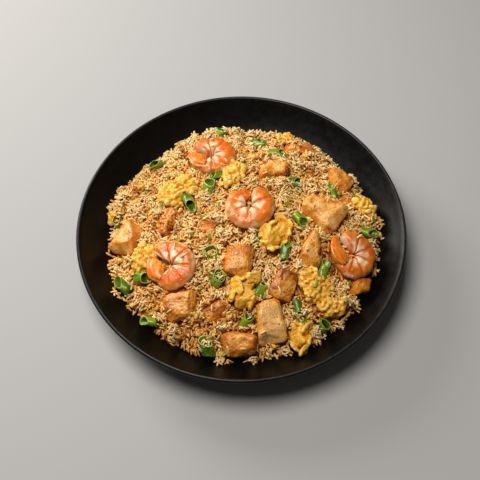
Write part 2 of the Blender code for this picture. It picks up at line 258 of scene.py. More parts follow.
class Shader:
    """A builder for a material of nodes round one Principled BSDF."""

    def __init__(self, name, roughness, soft=0.0, soft_scale=1.5 * MM):
        self.material = bpy.data.materials.new(name)
        self.material.use_nodes = True
        self.tree = self.material.node_tree
        self.bsdf = self.tree.nodes["Principled BSDF"]
        self.bsdf.inputs["Roughness"].default_value = roughness
        if soft:
            self.bsdf.inputs["Subsurface Weight"].default_value = soft
            self.bsdf.inputs["Subsurface Scale"].default_value = soft_scale
            self.bsdf.inputs["Subsurface Radius"].default_value = (1.0, 0.5, 0.22)

    def link(self, socket, value):
        """Feed a socket from another, or set its constant."""
        if isinstance(value, bpy.types.NodeSocket):
            self.tree.links.new(value, socket)
        elif isinstance(value, tuple) and len(value) == 3 and socket.type == "RGBA":
            socket.default_value = (*value, 1.0)
        else:
            socket.default_value = value

    def add(self, kind, **settings):
        """A node with its properties set."""
        made = self.tree.nodes.new("ShaderNode" + kind)
        for key, value in settings.items():
            setattr(made, key, value)
        return made

    def attribute(self, name):
        """A number stored on the mesh."""
        return self.add("Attribute", attribute_name=name).outputs["Fac"]

    def noise(self, spacing, detail=3.0, vector=None):
        """Noise from 0 to 1 with lumps of the given spacing."""
        made = self.add("TexNoise")
        made.inputs["Scale"].default_value = 1.0 / spacing
        made.inputs["Detail"].default_value = detail
        self.link(made.inputs["Vector"], vector or self.add("TexCoord").outputs["Object"])
        return made.outputs["Fac"]

    def spots(self, spacing, full, edge):
        """1 in small round spots and 0 outside, strewn at the given spacing. Full and edge are shares of it."""
        made = self.add("TexVoronoi")
        made.inputs["Scale"].default_value = 1.0 / spacing
        self.link(made.inputs["Vector"], self.add("TexCoord").outputs["Object"])
        return self.step(made.outputs["Distance"], full, edge, 1.0, 0.0)

    def ramp(self, value, *stops):
        """A colour from (place, colour) stops."""
        made = self.add("ValToRGB")
        elements = made.color_ramp.elements
        while len(elements) < len(stops):
            elements.new(0.5)
        for element, (place, colour) in zip(elements, stops):
            element.position = place
            element.color = (*colour, 1.0)
        self.link(made.inputs["Fac"], value)
        return made.outputs["Color"]

    def step(self, value, low, high, bottom=0.0, top=1.0):
        """A smooth rise from bottom, below low, to top, above high."""
        made = self.add("MapRange", interpolation_type="SMOOTHSTEP")
        sockets = ("Value", "From Min", "From Max", "To Min", "To Max")
        for name, number in zip(sockets, (value, low, high, bottom, top)):
            self.link(made.inputs[name], number)
        return made.outputs["Result"]

    def math(self, operation, first, second=0.0):
        """Arithmetic on two numbers."""
        made = self.add("Math", operation=operation)
        self.link(made.inputs[0], first)
        self.link(made.inputs[1], second)
        return made.outputs["Value"]

    def mix(self, share, first, second):
        """A mix of two colours."""
        made = self.add("Mix", data_type="RGBA")
        self.link(made.inputs["Factor"], share)
        colours = [socket for socket in made.inputs if socket.type == "RGBA"]
        self.link(colours[0], first)
        self.link(colours[1], second)
        return next(socket for socket in made.outputs if socket.type == "RGBA")

    def finish(self, colour, height=None, depth=0.1 * MM, roughness=None):
        """Set the colour, and the bump and roughness where they vary, and give back the material."""
        self.link(self.bsdf.inputs["Base Color"], colour)
        if roughness is not None:
            self.link(self.bsdf.inputs["Roughness"], roughness)
        if height is not None:
            bump = self.add("Bump")
            bump.inputs["Distance"].default_value = depth
            self.link(bump.inputs["Height"], height)
            self.link(self.bsdf.inputs["Normal"], bump.outputs["Normal"])
        return self.material


def glaze_material():
    """Satin black glaze with a faint mottle, painted a patchy lighter grey on the lip as a highlight."""
    shader = Shader("black_glaze", 0.35)
    shader.bsdf.inputs["Specular IOR Level"].default_value = 0.23
    mottle = shader.ramp(shader.noise(9 * MM), (0.3, (0.0012, 0.0010, 0.0008)), (0.8, (0.0030, 0.0026, 0.0023)))
    split = shader.add("SeparateXYZ")
    shader.link(split.inputs[0], shader.add("TexCoord").outputs["Object"])
    lip = shader.step(split.outputs["Z"], LIP_HEIGHT + 0.1 * MM, BOWL_HEIGHT)
    # Painted highlight: the lip gets a patchy lighter grey that stands in for the glint along its edge.
    lip_highlight = shader.math("MULTIPLY", lip, shader.step(shader.noise(5 * MM), 0.25, 0.6, 0.4, 1.0))
    colour = shader.mix(lip_highlight, mottle, (0.022, 0.021, 0.020))
    rough = shader.step(shader.noise(6 * MM), 0.3, 0.7, 0.30, 0.40)
    return shader.finish(colour, shader.noise(1.5 * MM), 0.04 * MM, rough)


def rice_material(name, light, dark):
    """A kind of grain: its grains run between two colours, and oil stains them in patches."""
    shader = Shader(name, 0.36, 0.65, 1.8 * MM)
    shader.bsdf.inputs["Subsurface Radius"].default_value = (1.0, 1.0, 0.9)
    shader.bsdf.inputs["Specular IOR Level"].default_value = 0.35
    colour = shader.ramp(shader.attribute("tone"), (0.0, dark), (1.0, light))
    oil = shader.step(shader.noise(16 * MM, 4.0), 0.50, 0.74, 0.0, 0.35)
    colour = shader.mix(oil, colour, (0.78, 0.30, 0.02))
    coating = shader.step(shader.noise(2.2 * MM, 3.0), 0.46, 0.64, 0.0, 0.42)
    colour = shader.mix(coating, colour, (0.80, 0.36, 0.05))
    seasoning = shader.step(shader.noise(1.1 * MM, 2.0), 0.66, 0.72, 0.0, 0.55)
    colour = shader.mix(seasoning, colour, (0.32, 0.09, 0.010))
    return shader.finish(colour, shader.noise(0.8 * MM, 2.0), 0.05 * MM)


def core_material():
    """Rice seen deep between the loose grains, painted darker than the grains as the shade in the gaps."""
    shader = Shader("rice_core", 0.55)
    colour = shader.ramp(shader.noise(2.6 * MM), (0.35, (0.48, 0.17, 0.012)), (0.7, (0.80, 0.38, 0.06)))
    return shader.finish(colour, shader.noise(1.5 * MM), 0.4 * MM)


def shrimp_material():
    """Pearly flesh with orange-red bands and yellow-orange sauce."""
    shader = Shader("shrimp_flesh", 0.30, 0.20, 2 * MM)
    shader.bsdf.inputs["Coat Weight"].default_value = 0.15
    shader.bsdf.inputs["Coat Roughness"].default_value = 0.2
    colour = shader.mix(shader.noise(4 * MM), (0.68, 0.15, 0.005), (0.72, 0.23, 0.022))
    sauce = shader.step(shader.noise(4 * MM, 5.0), 0.46, 0.60, 0.0, 0.8)
    colour = shader.mix(sauce, colour, (0.76, 0.21, 0.003))
    colour = shader.mix(shader.attribute("lobe"), colour, (0.89, 0.70, 0.46))
    mottle = shader.step(shader.noise(2.4 * MM, 4.0), 0.54, 0.66, 0.0, 0.5)
    colour = shader.mix(mottle, colour, (0.82, 0.25, 0.012))
    ragged = shader.math("MULTIPLY", shader.attribute("band"), shader.step(shader.noise(1.3 * MM), 0.2, 0.6, 0.6, 1.0))
    colour = shader.mix(ragged, colour, (0.80, 0.11, 0.003))
    return shader.finish(colour, shader.noise(1.1 * MM, 5.0), 0.22 * MM)


def fan_material():
    """The glossy orange blades of a shrimp's tail fan, with darker ribs."""
    shader = Shader("shrimp_tail", 0.32, 0.15)
    shader.bsdf.inputs["Coat Weight"].default_value = 0.1
    colour = shader.ramp(shader.attribute("rib"), (0.0, (0.90, 0.25, 0.010)), (1.0, (0.78, 0.11, 0.003)))
    colour = shader.mix(shader.step(shader.noise(3 * MM, 4.0), 0.42, 0.66, 0.0, 0.6), colour, (0.92, 0.40, 0.05))
    return shader.finish(colour, shader.noise(1.4 * MM, 4.0), 0.15 * MM)


def chicken_material():
    """Cooked breast meat, golden on its faces, browned along its edges, painted darker in its folds and on its
    undersides as shade, with small dark spots painted as the shade of pits.
    """
    shader = Shader("chicken_meat", 0.40, 0.12)
    shader.bsdf.inputs["Specular IOR Level"].default_value = 0.8
    colour = shader.ramp(
        shader.attribute("crust_and_shade"),
        (0.0, (0.95, 0.53, 0.17)),
        (0.30, (0.87, 0.36, 0.030)),
        (0.62, (0.70, 0.19, 0.002)),
        (1.0, (0.24, 0.055, 0.001)),
    )
    light = shader.step(shader.noise(1.8 * MM, 4.0), 0.44, 0.62, 0.0, 0.65)
    light = shader.math("MULTIPLY", light, shader.step(shader.attribute("crust_and_shade"), 0.3, 0.9, 1.0, 0.0))
    colour = shader.mix(light, colour, (0.98, 0.60, 0.20))
    deep = shader.step(shader.noise(3.4 * MM, 5.0), 0.49, 0.64, 0.0, 0.65)
    colour = shader.mix(deep, colour, (0.76, 0.24, 0.001))
    specks = shader.step(shader.noise(1.0 * MM, 3.0), 0.57, 0.66, 0.0, 0.6)
    colour = shader.mix(specks, colour, (0.46, 0.13, 0.002))
    # Painted shade: small dark spots stand in for the shade inside pits.
    pit_shade = shader.math("MULTIPLY", shader.spots(2.9 * MM, 0.11, 0.21), shader.step(shader.noise(9 * MM), 0.42, 0.50))
    colour = shader.mix(pit_shade, colour, (0.15, 0.040, 0.004))
    return shader.finish(colour, shader.noise(1.2 * MM, 5.0), 0.36 * MM)


def egg_material():
    """Scrambled egg, painted darker in its folds and lighter on its raised and upward faces, as shade and light."""
    shader = Shader("egg_curd", 0.42, 0.18)
    colour = shader.ramp(
        shader.attribute("relief_shade"),
        (0.0, (0.50, 0.14, 0.001)),
        (0.40, (0.80, 0.35, 0.006)),
        (0.70, (0.90, 0.48, 0.035)),
        (1.0, (0.95, 0.63, 0.16)),
    )
    pale = shader.step(shader.noise(3.5 * MM, 4.0), 0.5, 0.68, 0.0, 0.5)
    colour = shader.mix(pale, colour, (0.94, 0.60, 0.13))
    toasted = shader.step(shader.noise(6 * MM, 4.0), 0.50, 0.64, 0.0, 0.55)
    colour = shader.mix(toasted, colour, (0.80, 0.33, 0.010))
    colour = shader.mix(shader.spots(3.6 * MM, 0.07, 0.15), colour, (0.50, 0.20, 0.008))
    return shader.finish(colour, shader.noise(1.0 * MM, 5.0), 0.42 * MM)


def onion_material():
    """Spring onion leaf: dark and streaked outside, pale on its cut ends, and painted darker inside the tube as shade.
    """
    shader = Shader("onion_leaf", 0.28, 0.08)
    shader.bsdf.inputs["Coat Weight"].default_value = 0.25
    shader.bsdf.inputs["Coat Roughness"].default_value = 0.15
    around = shader.add("CombineXYZ")
    shader.link(around.inputs[0], shader.attribute("around"))
    shader.link(around.inputs[1], shader.attribute("along"))
    streaks = shader.noise(1.4, 2.0, around.outputs[0])
    tint = shader.math("ADD", streaks, shader.attribute("tint"))
    colour = shader.ramp(
        tint,
        (0.25, (0.020, 0.058, 0.002)),
        (0.50, (0.080, 0.170, 0.003)),
        (0.75, (0.250, 0.350, 0.008)),
        (1.0, (0.52, 0.55, 0.05)),
    )
    blotch = shader.step(shader.noise(5 * MM, 3.0), 0.46, 0.66, 0.0, 0.6)
    colour = shader.mix(blotch, colour, (0.26, 0.38, 0.010))
    # Painted shade: the inside of the tube and the inner layer get darker greens.
    inside = shader.ramp(shader.noise(5 * MM, 3.0), (0.3, (0.035, 0.065, 0.002)), (0.7, (0.17, 0.25, 0.006)))
    colour = shader.mix(shader.attribute("inside"), colour, inside)
    colour = shader.mix(shader.attribute("cut"), colour, (0.42, 0.52, 0.06))
    return shader.finish(colour, shader.noise(2.0 * MM, 3.0), 0.3 * MM)


def herb_material():
    """Small shreds of leaf, from pale to dark green."""
    shader = Shader("herb_shreds", 0.4)
    tone = shader.attribute("tone")
    colour = shader.ramp(tone, (0.0, (0.10, 0.17, 0.006)), (0.5, (0.38, 0.40, 0.03)), (1.0, (0.68, 0.58, 0.13)))
    return shader.finish(colour, shader.noise(0.8 * MM), 0.1 * MM)


def crumb_material():
    """Browned crumbs of meat and crusty bits."""
    shader = Shader("browned_crumbs", 0.5)
    tone = shader.attribute("tone")
    colour = shader.ramp(tone, (0.0, (0.26, 0.06, 0.004)), (0.5, (0.60, 0.20, 0.02)), (1.0, (0.86, 0.40, 0.08)))
    return shader.finish(colour, shader.noise(0.7 * MM), 0.2 * MM)


def pepper_material():
    """Ground pepper and dark seasoning."""
    shader = Shader("pepper", 0.6)
    colour = shader.ramp(shader.attribute("tone"), (0.0, (0.012, 0.006, 0.004)), (1.0, (0.16, 0.05, 0.012)))
    return shader.finish(colour, shader.noise(0.3 * MM), 0.05 * MM)


# Bowl


def wall_height(radius):
    """Height of the bowl's upper surface at a radius."""
    climb = np.maximum(0.0, (radius - FLOOR_RADIUS) / (LIP_RADIUS - FLOOR_RADIUS))
    return FLOOR_TOP + (LIP_HEIGHT - FLOOR_TOP) * climb**2


def bowl_profile():
    """The section as (radius, height), from the middle of the floor over the lip to the foot's middle."""
    radii = np.linspace(FLOOR_RADIUS, LIP_RADIUS, 22)
    slope = np.gradient(wall_height(radii), radii)
    length = np.hypot(slope, 1.0)
    inner = np.column_stack([radii, wall_height(radii)])
    outer = inner + BOWL_WALL * np.column_stack([slope / length, -1.0 / length])
    middle = (inner[-1] + outer[-1]) / 2
    spoke = inner[-1] - middle
    lip_steps = 9
    lip = []
    for i in range(1, lip_steps):
        turn = -pi * i / lip_steps
        lip.append(middle + (spoke[0] * cos(turn) - spoke[1] * sin(turn), spoke[0] * sin(turn) + spoke[1] * cos(turn)))
    floor = [(radius, FLOOR_TOP) for radius in np.linspace(0.0, 0.97 * FLOOR_RADIUS, 6)]
    inside = FOOT_RADIUS - FOOT_WIDTH
    soft = FOOT_SOFTNESS
    foot = [
        (FOOT_RADIUS + 2 * soft, outer[0][1]),
        (FOOT_RADIUS, outer[0][1] - 0.6 * soft),
        (FOOT_RADIUS, soft),
        (FOOT_RADIUS - soft, 0.0),
        (inside + soft, 0.0),
        (inside, soft),
        (inside - soft, FOOT_HOLLOW),
        (0.5 * inside, FOOT_HOLLOW),
        (0.0, FOOT_HOLLOW),
    ]
    return np.vstack([floor, inner, lip, outer[::-1], foot])


def turned(profile, sides):
    """Points and faces of a profile turned about Z. It starts and ends on the axis."""
    angles = 2 * pi * np.arange(sides) / sides
    body = profile[1:-1]
    x = np.outer(body[:, 0], np.cos(angles))
    y = np.outer(body[:, 0], np.sin(angles))
    z = np.repeat(body[:, 1][:, None], sides, 1)
    points = np.stack([x, y, z], -1).reshape(-1, 3)
    top = len(points)
    points = np.vstack([points, (0, 0, profile[0, 1]), (0, 0, profile[-1, 1])])
    caps = np.vstack([fan_faces(top, 0, sides), fan_faces(top + 1, top - sides, sides, False)])
    return points, [ring_faces(len(body), sides), caps]


def build_bowl():
    """The glazed bowl."""
    points, faces = turned(bowl_profile(), BOWL_SIDES)
    bowl = new_object("bowl_glazed", points, faces, glaze_material())
    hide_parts("bowl")


# The heap's surface


def heap_outline(angle):
    """Radius of the heap's edge in a direction."""
    return HEAP_RADIUS + sum(reach * np.cos(count * angle + start) for count, reach, start in OUTLINE_WAVES)


def outline_reach(angle):
    """How far the loose grains reach beyond the outline in a direction."""
    ways, reaches = zip(*OUTLINE_REACH)
    return np.interp(np.degrees(angle) % 360, ways, reaches, period=360) * MM


def core_edge(angle):
    """Radius of the core's edge in a direction."""
    return heap_outline(angle) + np.minimum(outline_reach(angle), 0.0) - CORE_INSET


def heap_height(x, y):
    """Height of the heap's surface without its lumps."""
    edge = heap_outline(np.arctan2(y, x))
    share = np.minimum(1.0, np.hypot(x, y) / edge)
    foot = wall_height(edge) + HEAP_EDGE
    return foot + (HEAP_TOP - foot) * (1.0 - share**2) ** HEAP_FULLNESS


def lumpy_height(x, y):
    """Height of the heap's surface at one point, as in the CAD model."""
    edge = heap_outline(np.arctan2(y, x))
    fade = min(1.0, 4 * (1.0 - min(1.0, np.hypot(x, y) / edge)))
    return float(heap_height(x, y)) + LUMP_HEIGHT * noise.noise(Vector((x, y, 0.0)) / LUMP_SPACING) * fade


def resting_place(x, y, turn, lift):
    """The frame of a piece on the heap: X along its turn, Z along the heap's normal."""
    reach = 6 * MM
    along_x = (lumpy_height(x + reach, y) - lumpy_height(x - reach, y)) / (2 * reach)
    along_y = (lumpy_height(x, y + reach) - lumpy_height(x, y - reach)) / (2 * reach)
    normal = Vector((-along_x, -along_y, 1.0)).normalized()
    spot = Vector((x, y, lumpy_height(x, y))) + normal * lift
    tilt = Vector((0, 0, 1)).rotation_difference(normal).to_matrix().to_4x4()
    return Matrix.Translation(spot) @ tilt @ Matrix.Rotation(radians(turn), 4, "Z")


def map_cells():
    """The height map's cell centres."""
    count = int(2 * MAP_HALF / CELL)
    line = (np.arange(count) + 0.5) * CELL - MAP_HALF
    return np.meshgrid(line, line, indexing="ij")


def cell_of(value):
    """Index of the height map's cell at a coordinate."""
    count = int(2 * MAP_HALF / CELL)
    return np.clip(((value + MAP_HALF) / CELL).astype(int), 0, count - 1)


def cover_heights(pieces):
    """Height of the toppings over each cell of the map, or -1 where there is none."""
    xs, ys = map_cells()
    cover = np.full(xs.shape, -1.0)
    depsgraph = bpy.context.evaluated_depsgraph_get()
    down = Vector((0, 0, -1))
    above = 2 * HEAP_TOP
    for piece in pieces:
        points = read_points(piece.data)
        tree = BVHTree.FromObject(piece, depsgraph)
        low = cell_of(points.min(0))
        high = cell_of(points.max(0))
        for i in range(low[0], high[0] + 1):
            for j in range(low[1], high[1] + 1):
                hit = tree.ray_cast(Vector((xs[i, j], ys[i, j], above)), down)[0]
                if hit:
                    cover[i, j] = max(cover[i, j], hit.z)
    return cover


# Loose rice


def settle_grains(cover, low_cover):
    """Drop grains one by one: each lies on the highest points under it, as a rod would.

    They keep off the first cover, and lie against the low parts of the second. Gives an array with a row for each grain (x, y, z, turn, slope, length, width) and the height map
    of all that lies in the bowl.
    """
    draw = np.random.default_rng(11)
    xs, ys = map_cells()
    radius = np.hypot(xs, ys)
    angle = np.arctan2(ys, xs)
    reach = outline_reach(angle) + (4.0 * flat_noise(xs, ys, 11 * MM, 3) + 3.2 * flat_noise(xs, ys, 5 * MM, 6)) * MM
    margin = heap_outline(angle) + reach - radius
    # Rounded clumps with sharp valleys between them
    clumps = 2.2 * np.abs(flat_noise(xs, ys, CLUMP_SPACING, 1)) + 0.9 * np.abs(flat_noise(xs, ys, 0.5 * CLUMP_SPACING, 2))
    surface = heap_height(xs, ys) + CLUMPS * (clumps - 0.85)
    surface -= EDGE_DROP * (1.0 - smooth_step(margin, 0.0, EDGE_WIDTH))
    limit = np.where(margin > 0, surface, -1.0)
    core = np.where(radius < core_edge(angle), heap_height(xs, ys) - LAYER, -1.0)
    ground = np.maximum(np.maximum(wall_height(radius), core), low_cover)
    marks = np.linspace(-1.0, 1.0, 9)
    centre = len(marks) // 2
    left, right = np.meshgrid(marks[:centre], marks[centre + 1:], indexing="ij")
    span = right - left
    along, across = np.meshgrid(np.linspace(-1.0, 1.0, 19), np.linspace(-1.0, 1.0, 5), indexing="ij")
    fullness = np.sqrt(1.0 - 0.8 * along**4)
    grains = []
    for _ in range(GRAIN_TRIES):
        way = draw.uniform(0, 2 * pi)
        distance = (HEAP_RADIUS + 6 * MM) * draw.uniform() ** 0.5
        x = distance * cos(way)
        y = distance * sin(way)
        turn = draw.uniform(0, pi)
        if distance > heap_outline(way) - 9 * MM and draw.uniform() < 0.5:
            turn = way + draw.normal(0, 0.4)
        sizes = SHORT_LENGTHS if draw.uniform() < SHORT_SHARE else GRAIN_LENGTHS
        length = draw.uniform(*sizes)
        width = draw.uniform(*GRAIN_WIDTHS)
        stray = draw.normal()
        poking = draw.uniform() < POKING_SHARE
        slack = draw.uniform(-0.6 * MM, 1.3 * MM)
        half = length / 2
        ahead = (cos(turn), sin(turn))
        row = cell_of(x + marks * half * ahead[0])
        column = cell_of(y + marks * half * ahead[1])
        lids = cover[row, column]
        on_topping = lids[centre] > 0
        if on_topping and draw.uniform() > ON_TOPPINGS:
            continue
        if not on_topping and np.count_nonzero(lids > 0) > 3:
            continue
        bed = np.maximum(ground[row, column], lids)
        rests = (bed[:centre, None] * right - bed[None, centre + 1:] * left) / span
        best = np.unravel_index(np.argmax(rests), rests.shape)
        support = max(rests[best], bed[centre])
        support -= SETTLING * (support - bed.mean())
        tilt = (bed[centre + 1 + best[1]] - bed[best[0]]) / (span[best] * half)
        if bed[centre] > rests[best]:
            tilt *= 0.5
        z = support + 0.36 * width
        highest = TOPMOST_GRAIN if on_topping else limit[row[centre], column[centre]] + slack
        if abs(tilt) > 1.1 or z > highest:
            continue
        slope = tilt + 0.22 * stray
        if poking:
            slope += 0.75 * np.sign(stray)
            z += 0.3 * width
        slope = float(np.clip(slope, -1.5, 1.5))
        grains.append((x, y, z, turn, slope, length, width))
        level = 1.0 / (1.0 + slope * slope) ** 0.5
        reach = along * half * level
        beside = across * 0.45 * width
        row = cell_of(x + reach * ahead[0] - beside * ahead[1])
        column = cell_of(y + reach * ahead[1] + beside * ahead[0])
        top = z + reach * slope + 0.45 * width * fullness * (1 - 0.5 * across**2)
        np.maximum.at(ground, (row, column), top)
    return np.array(grains), np.maximum(ground, cover)


def softened(ground):
    """The height map with its clumps smoothed away."""
    reach = int(6 * MM / CELL)
    for axis in (0, 1):
        total = np.cumsum(np.insert(ground, 0, 0.0, axis), axis)
        size = ground.shape[axis]
        low = np.clip(np.arange(size) - reach, 0, size)
        high = np.clip(np.arange(size) + reach + 1, 0, size)
        span = (high - low)[:, None] if axis == 0 else (high - low)[None, :]
        ground = (np.take(total, high, axis) - np.take(total, low, axis)) / span
    return ground


def dark_patch_weight(x, y):
    """How far spots lie in the darker patches, from 0 to about 1."""
    return sum(np.exp(-((x - px * MM) ** 2 + (y - py * MM) ** 2) / (reach * MM) ** 2) for px, py, reach in DARK_PATCHES)


def seen_grains(grains, ground):
    """Those grains that are near enough to the surface to be seen."""
    seen = np.zeros(len(grains), bool)
    x, y, z, turn, slope, length, width = grains.T
    level = 1.0 / np.sqrt(1.0 + slope**2)
    for share in np.linspace(-0.5, 0.5, 5):
        reach = share * length * level
        row = cell_of(x + reach * np.cos(turn))
        column = cell_of(y + reach * np.sin(turn))
        seen |= z + reach * slope + 1.6 * width > ground[row, column]
    return grains[seen]


def grain_template():
    """Points and faces of a grain of unit length and width along X, with blunt ends."""
    places = np.array([-0.46, -0.30, 0.12, 0.43])
    girths = np.array([0.33, 0.48, 0.50, 0.38])
    angles = 2 * pi * np.arange(GRAIN_SIDES) / GRAIN_SIDES
    x = np.repeat(places[:, None], GRAIN_SIDES, 1)
    y = np.outer(girths, np.cos(angles))
    z = np.outer(girths, np.sin(angles))
    points = np.stack([x, y, z], -1).reshape(-1, 3)
    count = len(points)
    points = np.vstack([points, (-0.5, 0, 0), (0.5, 0, 0)])
    tips = np.vstack([
        fan_faces(count, 0, GRAIN_SIDES, False),
        fan_faces(count + 1, count - GRAIN_SIDES, GRAIN_SIDES),
    ])
    return points, [ring_faces(len(places), GRAIN_SIDES)[:, ::-1], tips]


def grain_meshes(grains, draw):
    """Points and faces for all the grains of one kind."""
    points, faces = grain_template()
    x, y, z, turn, slope, length, width = grains.T
    count = len(grains)
    flatness = draw.uniform(0.80, 1.0, (count, 1))
    roll = draw.uniform(0, pi, (count, 1))
    bend = draw.uniform(-0.32, 0.32, (count, 1))
    along = points[None, :, 0] * length[:, None]
    side = points[None, :, 1] * width[:, None]
    lift = points[None, :, 2] * width[:, None] * flatness
    arch = (0.25 - points[None, :, 0] ** 2) * bend * length[:, None]
    shapes = np.stack([along, side * np.cos(roll) - lift * np.sin(roll), side * np.sin(roll) + lift * np.cos(roll)], -1)
    shapes[..., 1] += arch
    shapes[..., 2] += 0.6 * arch
    level = 1.0 / np.sqrt(1.0 + slope**2)
    ahead = np.stack([np.cos(turn) * level, np.sin(turn) * level, slope * level], -1)
    aside = np.stack([-np.sin(turn), np.cos(turn), np.zeros(count)], -1)
    axes = np.stack([ahead, aside, np.cross(ahead, aside)], 1)
    return copies(shapes, faces, np.stack([x, y, z], -1), axes)


# Kinds of grain: share of all, light colour, dark colour
RICE_KINDS = {
    "rice_pale": (0.50, (0.98, 0.71, 0.37), (0.93, 0.53, 0.17)),
    "rice_golden": (0.38, (0.96, 0.57, 0.19), (0.84, 0.36, 0.06)),
    # The darkest kind is partly real browning in patches and partly painted shade on the low grains.
    "rice_browned_and_shaded": (0.12, (0.80, 0.35, 0.06), (0.46, 0.14, 0.012)),
}


def build_core():
    """The closed core under the loose grains, with relief finer than a grain."""
    sides = 120
    rings = 44
    angles = 2 * pi * np.arange(sides) / sides
    edge = core_edge(angles)
    shares = (np.arange(rings) + 1) / rings
    x = shares[:, None] * edge * np.cos(angles)
    y = shares[:, None] * edge * np.sin(angles)
    floor = wall_height(np.hypot(x, y))
    z = heap_height(x, y) - LAYER + 0.8 * MM * flat_noise(x, y, 3 * MM, 4)
    upper = np.stack([x, y, np.maximum(z, floor + 0.6 * MM)], -1).reshape(-1, 3)
    lower = np.stack([x, y, floor + 0.3 * MM], -1).reshape(-1, 3)
    count = len(upper)
    skin = ring_faces(rings, sides)
    last = np.arange(count - sides, count)
    following = np.roll(last, -1)
    rim = np.stack([last, count + last, count + following, following], -1)
    peak = (0.0, 0.0, HEAP_TOP - LAYER)
    points = np.vstack([upper, lower, peak, (0.0, 0.0, FLOOR_TOP + 0.3 * MM)])
    caps = np.vstack([fan_faces(2 * count, 0, sides), fan_faces(2 * count + 1, count, sides, False)])
    faces = [skin, skin[:, ::-1] + count, rim, caps]
    core = new_object("rice_core", points, faces, core_material())
    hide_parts("rice")


def build_rice(cover, low_cover):
    """The core and the loose grains, one piece for each kind. Gives the height map of all."""
    build_core()
    grains, ground = settle_grains(cover, low_cover)
    settled = len(grains)
    grains = seen_grains(grains, ground)
    print("grains settled", settled, "seen", len(grains))
    draw = np.random.default_rng(5)
    # Browned grains lie in patches, and also on the grains that sit low between the clumps as painted shade; grains
    # that stand out are more often pale, as painted light
    stand_out = (grains[:, 2] - softened(ground)[cell_of(grains[:, 0]), cell_of(grains[:, 1])]) / MM
    patch = 0.4 * flat_noise(grains[:, 0], grains[:, 1], 12 * MM, 8) + dark_patch_weight(grains[:, 0], grains[:, 1])
    clump = flat_noise(grains[:, 0], grains[:, 1], 7 * MM, 12)
    order = np.argsort(draw.uniform(0, 1, len(grains)) + 0.45 * patch - 0.16 * stand_out - 0.30 * clump)
    ends = np.cumsum([share for share, _, _ in RICE_KINDS.values()])
    starts = np.concatenate([[0.0], ends[:-1]])
    for (name, (_, light, dark)), low, high in zip(RICE_KINDS.items(), starts, ends):
        part = order[int(low * len(grains)):int(round(high * len(grains)))]
        points, faces = grain_meshes(grains[part], draw)
        # Painted light and shade: grains that stand out of the surface get lighter tones, and those sunk between them
        # darker ones.
        tone = np.clip(draw.uniform(0.4, 1.0, len(part)) + 0.14 * stand_out[part] + 0.2 * clump[part], 0, 1)
        tone = np.repeat(tone, len(points) // len(part))
        new_object(name, points, faces, rice_material(name, light, dark), {"tone": tone})
    return ground


# Shrimp

JOINTS = (0.02, 0.17, 0.34, 0.50, 0.65, 0.79, 0.92)  # between segments, as shares of the body's length
HOLE_RADIUS = 1.8 * MM
BODY_RINGS = 150
BODY_SIDES = 44


def bands(share, width, strengths=None):
    """1, or a joint's own strength, at the joints of the body, fading over a width."""
    strengths = np.ones(len(JOINTS)) if strengths is None else strengths
    rows = [strength * np.exp(-(((share - joint) / width) ** 2)) for joint, strength in zip(JOINTS, strengths)]
    return np.max(rows, axis=0)


